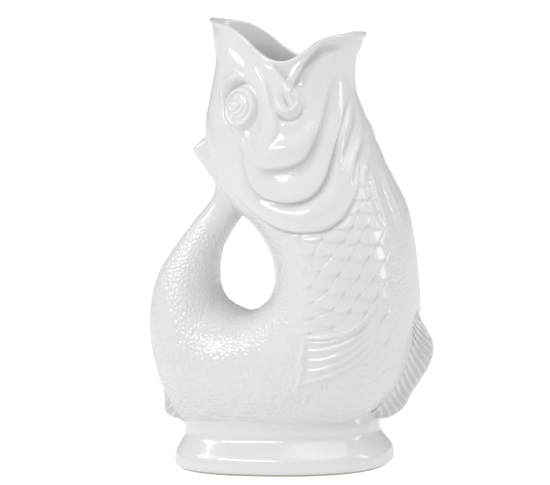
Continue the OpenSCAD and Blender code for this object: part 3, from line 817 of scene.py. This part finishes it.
def mixColours(factor, first, second):
    # inputs 6 and 7 are the node's two colours, and output 2 the mixed one
    node = Socket.made("ShaderNodeMix", {"data_type": "RGBA"}, factor)
    node.inputs[6].default_value = first
    node.inputs[7].default_value = second
    return Socket(node.outputs[2])


def newMaterial(name):
    # material whose nodes come next, and its shader's inputs
    material = bpy.data.materials.new(name)
    material.use_nodes = True
    Socket.tree = material.node_tree
    return material, material.node_tree.nodes["Principled BSDF"].inputs


def dress(inputs, colour, roughness, height, strength, depth):
    # links the sockets, with a bump of that strength, and of that depth in metres
    links = Socket.tree.links
    links.new(colour.socket, inputs["Base Color"])
    links.new(roughness.socket, inputs["Roughness"])
    bump = Socket.made("ShaderNodeBump", {}, strength, depth)
    links.new(height.socket, bump.inputs["Height"])
    links.new(bump.outputs[0], inputs["Normal"])


# A noise is given by its scale, detail and roughness
glaze = {
    # thin is the glaze on the ridges; pooled is the darker tone in the grooves, pooled glaze and painted
    # shade
    "thin": (0.800, 0.802, 0.790, 1), "pooledAndShaded": (0.640, 0.640, 0.615, 1), "poolAndShadeShare": 0.75,
    "cloud": (38.0, 3.0), "cloudShare": 0.35,
    "smear": 120.0, "smearFrom": (0.3, 0.7), "roughness": (0.14, 0.22),
    "index": 1.5, "coat": 0.55, "coatRoughness": 0.04,
    "wave": (210.0, 3.0, 0.55), "waveShare": 0.6, "grain": 900.0, "grainShare": 0.12,
    "bump": 0.35, "bumpDepth": 0.0007,
}
clay = {
    "dark": (0.56, 0.51, 0.43, 1), "light": (0.71, 0.67, 0.59, 1), "speckle": (1600.0, 4.0, 0.7),
    "lightFrom": (0.42, 0.62), "roughFrom": (0.3, 0.7), "roughness": (0.70, 0.92),
    "grit": (2400.0, 3.0, 0.65), "bump": 0.5, "bumpDepth": 0.0004,
}


def glazeMaterial():
    # tone is the pool plus a cloudy noise about 0, and goes from the thin colour to the darker pooled one;
    # the darker tone is pooled glaze and painted shade in the grooves
    g = glaze
    material, inputs = newMaterial("glazedCeramic")
    poolAndShade = Socket(Socket.made("ShaderNodeAttribute", {"attribute_name": "poolAndShade"}).outputs["Fac"])
    tone = poolAndShade * g["poolAndShadeShare"] + (noise(*g["cloud"]) - 0.5) * g["cloudShare"]
    colour = mixColours(ramp(tone, 0.0, 1.0, 0.0, 1.0), g["thin"], g["pooledAndShaded"])
    height = noise(*g["wave"]) * g["waveShare"] + noise(g["grain"]) * g["grainShare"]
    roughness = ramp(noise(g["smear"]), *g["smearFrom"], *g["roughness"])
    dress(inputs, colour, roughness, height, g["bump"], g["bumpDepth"])
    inputs["IOR"].default_value = g["index"]
    inputs["Coat Weight"].default_value = g["coat"]
    inputs["Coat Roughness"].default_value = g["coatRoughness"]
    return material


def clayMaterial():
    # one speckled noise gives colour and roughness, and a finer one the grit
    c = clay
    material, inputs = newMaterial("bareClay")
    speckle = noise(*c["speckle"])
    colour = mixColours(ramp(speckle, *c["lightFrom"], 0.0, 1.0), c["dark"], c["light"])
    roughness = ramp(speckle, *c["roughFrom"], *c["roughness"])
    dress(inputs, colour, roughness, noise(*c["grit"]), c["bump"], c["bumpDepth"])
    return material


finishes = {"glazed_ceramic": glazeMaterial(), "bare_clay": clayMaterial()}
print("finishes made")


def poolAndShadeOf(height, deep=-1.4, level=0.15):
    # 1 at the bottom of a groove that deep, 0 on skin at that level; pooled glaze and painted shade darken
    # the glaze that much
    return 1 - smooth(deep, level, height)


# Shells of the fish: a carved outside and a plain inside joined at the seams
turns = np.linspace(-np.pi, np.pi, jug["columns"], endpoint=False)
# the hollow's inner walls and the foot's underside are a little darker throughout: painted shade
insideShade = 0.1


def outside(s):
    # carved rows at s, an array of rows x columns, with one row more at each end for the normals
    wide = np.vstack([2 * s[:1] - s[1:2], s, 2 * s[-1:] - s[-2:-1]])
    turn = np.broadcast_to(turns, wide.shape)
    p, n, h = sampled(wide, turn)
    free = p + n * h[..., None]
    normals = gridNormals(free, True)
    lowered = free - n * bedded(wide, turn, p)[..., None]
    return lowered[1:-1], normals[1:-1], h[1:-1]


def inside(s, inset):
    # the rows of s run back up the fish, so that the normals point into the hollow
    p = skin(s, np.broadcast_to(turns, s.shape), inset)
    return p, gridNormals(p, True)


def evenRows(low, high, count):
    # evenly spaced stations, each the same all round
    return np.repeat(np.linspace(low, high, count)[:, None], jug["columns"], 1)


def shell(name, node, grids, wrapRows, slotName="glazed_ceramic"):
    # grids of rows, one after another: a ring of rows if wrapRows, and otherwise capped at both ends
    p = np.vstack([g[0] for g in grids])
    n = np.vstack([g[1] for g in grids])
    # carved grids darken in their grooves, pooled glaze and painted shade, and the others a little
    # throughout, painted shade
    poolAndShade = np.vstack([poolAndShadeOf(g[2]) if len(g) > 2 else np.full(g[0].shape[:2], insideShade) for g in grids])
    faces = tubeFaces(*p.shape[:2], wrapRows)
    addPiece(name, node, p.reshape(-1, 3), faces, n.reshape(-1, 3), slotName, poolAndShade)


# Seams between the shells, as stations; the tail's hollow is closed at its neck
seams = {"head": 7.0, "body": 16.0, "neck": 22.4, "tail": 24.0, "fluke": 28.0}

# Samples of the plain fish where the foot and fins stand on it, and where the tail leans on the head
belly = fishCloud(8.5, 20.0, rowCount=96, columnCount=170)
headBack = fishCloud(-0.5, 9.5, rowCount=80, columnCount=160)

# Rows of the body lie closest where the large scales are
body = {"stations": [seams["head"], 11.0, 14.2, seams["body"]], "rows": [118, 88, 23], "insideRows": 12}


def bodyGrids():
    # outside with each stretch of rows evenly spaced, and inside run back up from its end
    parts = [np.linspace(*ends) for ends in zip(body["stations"], body["stations"][1:], body["rows"])]
    s = np.concatenate([parts[0]] + [part[1:] for part in parts[1:]])
    within = inside(evenRows(seams["body"], seams["head"], body["insideRows"]), jug["wall"])
    return [outside(np.repeat(s[:, None], jug["columns"], 1)), within]


shell("bodyShell", "body_shell", bodyGrids(), True)

head = {
    "rows": 196, "crowding": 1.08,  # rows lie a little closer at the rim
    "insideRows": 30, "lipRows": 12,
    "thinTo": 0.3, "followTo": 0.35,  # shares of the way down where the inner wall turns plain
    "follow": 0.85,  # share of the outside's heights that the inner wall takes, within these limits
    "rimLow": -1.5, "rimHigh": 2.5, "grooveLow": -1.6,
}


def headGrids():
    # rows spread from the rim, where each starts lower by its share of the dip, down to the seam
    z = head
    top = rimStation(np.cos(turns))
    f = np.linspace(0, 1, z["rows"])[:, None] ** z["crowding"]
    out = outside(top + f * (seams["head"] - top))
    g = np.linspace(1, 0, z["insideRows"])[:, None]
    s = top + g * (seams["head"] - top)
    wall = jug["wall"] * (mouth["thin"] + (1 - mouth["thin"]) * smooth(0, z["thinTo"], g))
    turn = np.broadcast_to(turns, s.shape)
    n, h = sampled(s, turn)[1:]
    edge = rimHeight((s - top) * mouth["pitch"], np.cos(turn))
    follow = np.clip(edge, z["rimLow"], z["rimHigh"]) + np.clip(h - edge, z["grooveLow"], 0)
    inner = skin(s, turn, wall) + n * (z["follow"] * follow * (1 - smooth(0, z["followTo"], g)))[..., None]
    # round lip from the inner edge to the outer one, on the two rings' own upward direction
    first, last = inner[-1], out[0][0]
    up = unit(out[0][0] - out[0][1])
    a = np.linspace(0, np.pi, z["lipRows"])[1:-1, None, None]
    middle, half = (first + last) / 2, (last - first) / 2
    bulge = up * np.sin(a) * np.linalg.norm(half, axis=-1, keepdims=True) - half * np.cos(a)
    # the order round the wall is outside down, inside up, then over the lip
    return [out, (inner, -gridNormals(inner[::-1], True)[::-1]), (middle + bulge, unit(bulge))]


shell("headShell", "head_shell", headGrids(), True)

tail = {"rows": 170, "insideRows": 14}


def tailGrids():
    # inside from the neck back to the belly's seam, then outside up to the fluke, fused with the head
    p, n, h = outside(evenRows(seams["body"], seams["tail"], tail["rows"]))
    return [inside(evenRows(seams["neck"], seams["body"], tail["insideRows"]), jug["wall"]),
            (*meet(p, n, headBack, jug["tailJoint"]), h)]


shell("tailShell", "tail_shell", tailGrids(), False)

fluke = {"rows": 90, "roundRows": 13, "roundLength": 0.026 * jug["width"],
         "perStation": 7.5,  # millimetres to a station at its end
         "closed": 0.97}     # share of the thickness that has gone at the very end


def flukeGrids():
    # the plate narrows to a rounded end: the inset is half its thickness there times 1 - sqrt(1 - t^2)
    z = fluke
    s = evenRows(seams["tail"], seams["fluke"], z["rows"])
    out, n, h = outside(s)
    t = np.sin(np.linspace(0, np.pi / 2, z["roundRows"]))[1:, None]
    past = s[-1:] + t * z["roundLength"] / z["perStation"]
    narrowing = z["closed"] * (1 - np.sqrt(np.maximum(1 - t * t, 0)))
    end = skin(past, np.broadcast_to(turns, past.shape), narrowing * readRow(stations, past)[..., 4])
    whole = np.vstack([out, end])
    own = gridNormals(whole, True)[len(n) - 2:]
    # the last ring faces along the plate
    own[-1] = unit(end[-1].mean(0) - out[-1].mean(0))
    seated = meet(whole, np.vstack([n[:-2], own]), headBack, jug["tailJoint"])
    return [(*seated, np.vstack([h, np.zeros(end.shape[:2])]))]


shell("tailFluke", "tail_fluke", flukeGrids(), False)

# Foot: an oval skirt with a rounded hem and a hollow below, run smoothly into the belly
foot = {
    "height": 33.0,
    "length": 122.0,
    "width": 92.0,
    "waistLength": 109.4,
    "waistWidth": 74.5,
    "middle": -0.042 * jug["length"],
    "waistMiddle": -0.0455 * jug["length"],
    "square": 2.4,          # power of the squared oval
    "ring": 1.2,            # height of the bare ring
    "ringWidth": 5.0,
    "edgeIn": 2.4,          # how far the bare ring lies in from the hem
    "joint": 1.3,
    "rows": 170, "columns": 360,
    # height share above the bare ring, and flare from the waist to the widest
    "profileShares": [[0.00, 0.84], [0.02, 0.95], [0.08, 1.01], [0.20, 0.98], [0.28, 0.84], [0.40, 0.46],
                      [0.52, 0.10], [0.60, 0.00], [0.72, -0.02], [0.86, -0.18], [1.00, -0.6], [1.12, -1.2]],
    "profileEnd": 10.8,     # row of that table where the skirt is deep in the belly
    "core": 0.6,            # height share of a point inside the skirt
    # height and inset from the bare ring, from the roof of the hollow down to the ring
    "hollow": [[7.0, 8.6], [6.6, 6.02], [5.6, 3.85], [3.5, 1.75], [1.5, 0.1], [1.2, 0.0]],
    # closing surface inside the belly: flare, share of the height, and inset
    "shelf": [[0, 0.95, 3.5], [0.6, 0.62, 9.0], [0.6, 0.3, 22.0]],
    "worn": [[0.0, 1.2], [0.02, 0.5], [0.15, 0.15], [0.5, 0.0]],  # in from the ring's side, and up
}


def footOval(flare, z, grow=0.0):
    # squared oval of that flare: x = middle + half length cos^(2/q), y = half width sin^(2/q)
    f = foot
    turn = np.linspace(0, -2 * np.pi, f["columns"], endpoint=False)
    flare, z, grow = [np.atleast_1d(value)[:, None] for value in (flare, z, grow)]
    middle = f["waistMiddle"] + (f["middle"] - f["waistMiddle"]) * flare
    halfLength = (f["waistLength"] + (f["length"] - f["waistLength"]) * flare) / 2 + grow
    halfWidth = (f["waistWidth"] + (f["width"] - f["waistWidth"]) * flare) / 2 + grow
    x = middle + halfLength * signedPower(np.cos(turn), 2 / f["square"])
    y = halfWidth * signedPower(np.sin(turn), 2 / f["square"])
    return np.stack(np.broadcast_arrays(x, y, z), -1)


def footGrids():
    # hollow, then skirt: at each row of the profile the oval of that flare at its share of the height,
    # fused with the belly and closed by a shelf inside it
    f = foot
    profile = readRow(np.array(f["profileShares"]), np.linspace(0, f["profileEnd"], f["rows"]))
    skirt = footOval(profile[:, 1], f["ring"] + profile[:, 0] * (f["height"] - f["ring"]))
    normals = gridNormals(skirt, True)
    outward = (normals * (skirt - [f["middle"], 0, f["core"] * f["height"]])).sum(-1, keepdims=True) > 0
    skirt, normals = meet(skirt, np.where(outward, normals, -normals), belly, f["joint"])
    up, inset = np.array(f["hollow"]).T
    hollow = footOval(np.ones(len(up)), up, -(f["edgeIn"] + f["ringWidth"] + inset))
    down = -gridNormals(hollow[::-1], True)[::-1]
    down = np.where(down[..., 2:] > 0, -down, down)
    flare, share, shelfIn = np.array(f["shelf"]).T
    shelf = footOval(flare, share * f["height"], -shelfIn)
    return [(hollow, down), (skirt, normals, np.zeros(skirt.shape[:2])),
            (shelf, np.broadcast_to([0.0, 0.0, 1.0], shelf.shape))]


shell("pedestalFoot", "pedestal_foot", footGrids(), False)


def rimGrids():
    # bare ring that touches the table, its lower edges worn round
    inward, up = np.array(foot["worn"]).T
    inward = foot["edgeIn"] + np.concatenate([inward, foot["ringWidth"] - inward[::-1]])
    ring = footOval(np.ones(len(inward)), np.concatenate([up, up[::-1]]), -inward)[::-1]
    return [(ring, unit(ring - ring.mean(0)))]


shell("bareFootRim", "bare_foot_rim", rimGrids(), True, "bare_clay")

# Fins in the plane of symmetry: rows of [root x, root z, edge x, edge z] as shares of length and height
finShape = {
    "root": 7.5, "edge": 2.6, "joint": 4.5,  # thickness at the root and near the edge, and fillet
    # share of the way out, and share there of what the root is thicker than the edge
    "sectionShares": [[0, 1], [0.2, 0.9], [0.45, 0.70], [0.7, 0.42], [0.85, 0.25], [0.94, 0.08]],
    "roundFrom": 0.94,
    "endPower": 14, "endLeast": 0.05,  # how suddenly a fin thins out at its two ends, and how far
    "endBreadth": 0.6, "jointLeast": 0.04,  # shares of the breadth and of the fillet that are left there
    "rayPower": 6, "raySink": 0.35, "rayGroup": 7, "rayStart": (0.0, 0.12), "rayEnd": (0.90, 1.0),
    "scallopLevel": 0.6, "scallopFrom": (0.7, 1.0),
    # pool gives the ray heights over which the fin darkens between its rays: pooled glaze and painted shade
    # from the body over it
    "across": 46, "jointFrom": (0.3, 4.0), "poolAndShade": (-0.25, 0.40),
}
bellyFin = {
    "rows": [[0.410, 0.375, 0.428, 0.372], [0.405, 0.330, 0.456, 0.328], [0.400, 0.290, 0.496, 0.275],
             [0.385, 0.245, 0.486, 0.232], [0.360, 0.205, 0.452, 0.194], [0.325, 0.165, 0.416, 0.161],
             [0.285, 0.135, 0.386, 0.128], [0.235, 0.115, 0.326, 0.098]],
    "rays": 17.0, "lean": -3.4, "rise": 0.9, "fine": 0.2, "scallop": 0.3,
}
backFin = {
    "rows": [[-0.440, 0.215, -0.472, 0.212], [-0.425, 0.180, -0.470, 0.176], [-0.405, 0.155, -0.468, 0.150],
             [-0.380, 0.130, -0.464, 0.113], [-0.345, 0.105, -0.412, 0.096], [-0.320, 0.090, -0.388, 0.086]],
    "rays": 9.0, "lean": -1.2, "rise": 0.8, "fine": 0.2, "scallop": 0.35,
}


def finGrid(fin, count):
    # half thickness eases from root to edge; a ray is rise (|cos(pi q)|^6 - 0.35), where q counts the
    # rays along the fin and leans with the share f of the way out, over a slow wave of seven rays
    z = finShape
    table = np.array(fin["rows"]) * [jug["length"], jug["height"], jug["length"], jug["height"]]
    line = readRow(table, np.linspace(0, len(table) - 1, count))
    root, edge = line[:, None, 0:2], line[:, None, 2:4]
    over = np.linspace(-1, 1, 2 * z["across"] + 1)[None, :]
    f, side = 1 - np.abs(over), -np.sign(over)
    section = np.array(z["sectionShares"])
    half = (z["edge"] + (z["root"] - z["edge"]) * np.interp(f, section[:, 0], section[:, 1])) / 2
    rounded = np.sqrt(np.clip(1 - ((f - z["roundFrom"]) / (1 - z["roundFrom"])) ** 2, 0, 1))
    half = np.where(f > z["roundFrom"], z["edge"] / 2 * rounded, half)
    ends = np.sqrt(np.clip(1 - np.abs(np.linspace(-1, 1, count)) ** z["endPower"], z["endLeast"], 1))[:, None]
    q = np.linspace(0, fin["rays"], count)[:, None] + fin["lean"] * f
    crest = np.abs(np.cos(np.pi * q))
    ray = fin["rise"] * (crest ** z["rayPower"] - z["raySink"]) \
        + fin["fine"] * np.cos(2 * np.pi * q / z["rayGroup"])
    ray = ray * between(f, z["rayStart"], z["rayEnd"])
    half = (half + ray / 2) * ends
    reach = f * (z["endBreadth"] + (1 - z["endBreadth"]) * ends)
    scallop = fin["scallop"] * (crest - z["scallopLevel"]) * smooth(*z["scallopFrom"], f)
    flat = root + (edge - root) * reach[..., None] + unit(edge - root) * scallop[..., None]
    return np.stack([flat[..., 0], half * side, flat[..., 1]], -1), ray


def addFin(name, node, fin, count):
    # the fin's grid with its normals turned out, fused with the belly along its root
    p, ray = finGrid(fin, count)
    normals = gridNormals(p, False)
    # the first half of the columns is the fin's left side, so its normals point to the left
    left = finShape["across"] // 2
    if (normals[:, left, 1] * p[:, left, 1]).sum() < 0:
        p, ray, normals = p[::-1], ray[::-1], -normals[::-1]
    # the blend goes where the fin's edge is still inside the fish
    beyond = planeAt(p[:, p.shape[1] // 2], belly)[0]
    blend = finShape["joint"] * np.maximum(smooth(*finShape["jointFrom"], beyond), finShape["jointLeast"])
    seated, seatedNormals = meet(p, normals, belly, blend[:, None])
    # the glaze darkens between the rays, pooled glaze and painted shade
    addPiece(name, node, seated.reshape(-1, 3), tubeFaces(*p.shape[:2]), seatedNormals.reshape(-1, 3),
             "glazed_ceramic", poolAndShadeOf(ray, *finShape["poolAndShade"]))


addFin("bellyFin", "belly_fin", bellyFin, 330)
addFin("backFin", "back_fin", backFin, 190)


def addPatch(name, kind):
    # closed slab: the carved top tucked under the skin at its outline, a back below it, and its edge
    z, patch = patchSize, patches[kind]
    s, turn = patch[..., 0], patch[..., 1]
    p, n, h = sampled(s, turn)
    free = p + n * h[..., None]
    normals = gridNormals(free, False)
    facing = np.sign((normals * n).sum(-1).mean())
    depth = insideOf(outlines[kind], s.ravel(), turn.ravel(), p.reshape(-1, 3)).reshape(s.shape)
    depth = np.maximum(depth, 0)
    top = free - n * (z["tuck"] * (1 - smooth(0, z["tuckWidth"], depth)))[..., None]
    back = top - n * (z["thickness"] * smooth(*z["thickFrom"], depth))[..., None]
    quads = gridQuads(*s.shape, False, False)
    edge = boundaryOf(*s.shape)
    following = np.roll(edge, -1)
    sides = np.stack([edge, edge + s.size, following + s.size, following], -1)
    faces = np.vstack([quads, quads[:, ::-1] + s.size, sides])
    if facing < 0:
        faces = faces[:, ::-1]
    vertices = np.concatenate([top.reshape(-1, 3), back.reshape(-1, 3)])
    both = np.concatenate([normals.reshape(-1, 3), -normals.reshape(-1, 3)]) * facing
    # the carved top darkens in its grooves, pooled glaze and painted shade; the back does not
    poolAndShade = np.concatenate([poolAndShadeOf(h).ravel(), np.zeros(s.size)])
    addPiece("right" + name, "right_" + kind, vertices, faces, both, "glazed_ceramic", poolAndShade)
    addPiece("left" + name, "left_" + kind, vertices * mirrorY, faces[:, ::-1], both * mirrorY,
             "glazed_ceramic", poolAndShade)


addPatch("GillCover", "gill_cover")
addPatch("PectoralFin", "pectoral_fin")
addPatch("LipCurl", "lip_curl")
addPatch("Eye", "eye")
print("all pieces made")

# Studio: a white floor and backdrop, and softboxes at the front left, the left, the right and above
studio = {
    "plain": 0.555, "mirrored": 0.45,  # strength of the backdrop as light, and as seen in the glaze
    "side": 6.0, "front": 6.0, "back": 14.0, "grey": (0.9, 0.9, 0.9, 1), "rough": 0.9,
    "glow": 1.2, "ownShare": 0.80, "bounceShare": 0.33,  # share of glow as seen, and as it lights the jug
}
lights = {
    "key": {"place": [-0.75, -1.07, 1.22], "aim": [0, 0, 0.13], "size": (0.95, 0.4), "power": 7.4},
    "left": {"place": [-1.26, -0.34, 1.10], "aim": [0, 0, 0.13], "size": (0.45, 0.5), "power": 2.6},
    "side": {"place": [1.48, 0.13, 0.73], "aim": [0, 0, 0.13], "size": (0.28, 0.9), "power": 3.2},
    "top": {"place": [0.42, -0.45, 1.62], "aim": [0, 0, 0.15], "size": (1.2, 0.9), "power": 4.6},
}
# The photograph's view: degrees round from the side, above and rolled, and its distance
view = {"turn": 16.0, "rise": 6.0, "roll": 2.0, "distance": 1.8, "aim": [-0.008, 0.0, 0.124],
        "sensor": 36.0, "lens": 212.07}


def addFloor():
    # plane that glows less as it lights the jug than as the camera sees it
    z = studio
    corners = [(-z["side"], -z["front"], 0), (z["side"], -z["front"], 0), (z["side"], z["back"], 0),
               (-z["side"], z["back"], 0)]
    floor, mesh = addMesh("studioFloor", corners, [(0, 1, 2, 3)])
    material, inputs = newMaterial("studioFloor")
    tree = material.node_tree
    inputs["Base Color"].default_value = z["grey"]
    inputs["Roughness"].default_value = z["rough"]
    inputs["Specular IOR Level"].default_value = 0.0
    glow = Socket.made("ShaderNodeEmission", {}, (1, 1, 1, 1), z["glow"])
    seen = Socket(Socket.made("ShaderNodeLightPath", {}).outputs["Is Camera Ray"])
    mix = Socket.made("ShaderNodeMixShader", {}, seen * (z["ownShare"] - z["bounceShare"]) + z["bounceShare"])
    tree.links.new(tree.nodes["Principled BSDF"].outputs[0], mix.inputs[1])
    tree.links.new(glow.outputs[0], mix.inputs[2])
    tree.links.new(mix.outputs[0], tree.nodes["Material Output"].inputs[0])
    mesh.materials.append(material)


def stand(name, data, across, up, back, place):
    # a light or camera at that place that looks against back
    thing = bpy.data.objects.new(name, data)
    rows = np.column_stack([across, up, back, place])
    thing.matrix_world = Matrix(np.vstack([rows, [0, 0, 0, 1]]).tolist())
    bpy.context.scene.collection.objects.link(thing)
    return thing


def addLight(name, place, aim, size, power):
    # softbox that faces from its place to aim
    data = bpy.data.lights.new(name, "AREA")
    data.shape = "RECTANGLE"
    data.size, data.size_y = size
    data.energy = power
    back = unit(np.array(place) - np.array(aim))
    across = unit(np.cross([0, 0, 1], back))
    stand(name, data, across, np.cross(back, across), back, place)


def addWorld():
    # strength: 1 as the camera sees it, else mirrored for glossy rays, else plain
    world = bpy.data.worlds.new("studio")
    world.use_nodes = True
    Socket.tree = world.node_tree
    path = Socket.made("ShaderNodeLightPath", {})
    seen = Socket(path.outputs["Is Camera Ray"]).maths("MAXIMUM", Socket(path.outputs["Is Transmission Ray"]))
    glossy = Socket(path.outputs["Is Glossy Ray"])
    plain = seen + (1 - seen) * (glossy * studio["mirrored"] + (1 - glossy) * studio["plain"])
    tree = world.node_tree
    tree.links.new(plain.socket, tree.nodes["Background"].inputs["Strength"])
    tree.nodes["Background"].inputs["Color"].default_value = (1, 1, 1, 1)
    bpy.context.scene.world = world


def addCamera():
    # at that distance from aim, turned round Z, raised, and rolled about its own view
    turn, rise, roll = np.radians([view["turn"], view["rise"], view["roll"]])
    back = np.array([np.sin(turn) * np.cos(rise), -np.cos(turn) * np.cos(rise), np.sin(rise)])
    right = np.array([np.cos(turn), np.sin(turn), 0.0])
    up = np.cross(back, right)
    data = bpy.data.cameras.new("camera")
    data.sensor_width = view["sensor"]
    data.lens = view["lens"]
    bpy.context.scene.camera = stand(
        "camera", data, right * np.cos(roll) - up * np.sin(roll), up * np.cos(roll) + right * np.sin(roll),
        back, np.array(view["aim"]) + back * view["distance"])


addFloor()
for lightName, light in lights.items():
    addLight(lightName, **light)
addWorld()
addCamera()
bpy.context.scene.view_settings.view_transform = "Standard"
print("studio set")
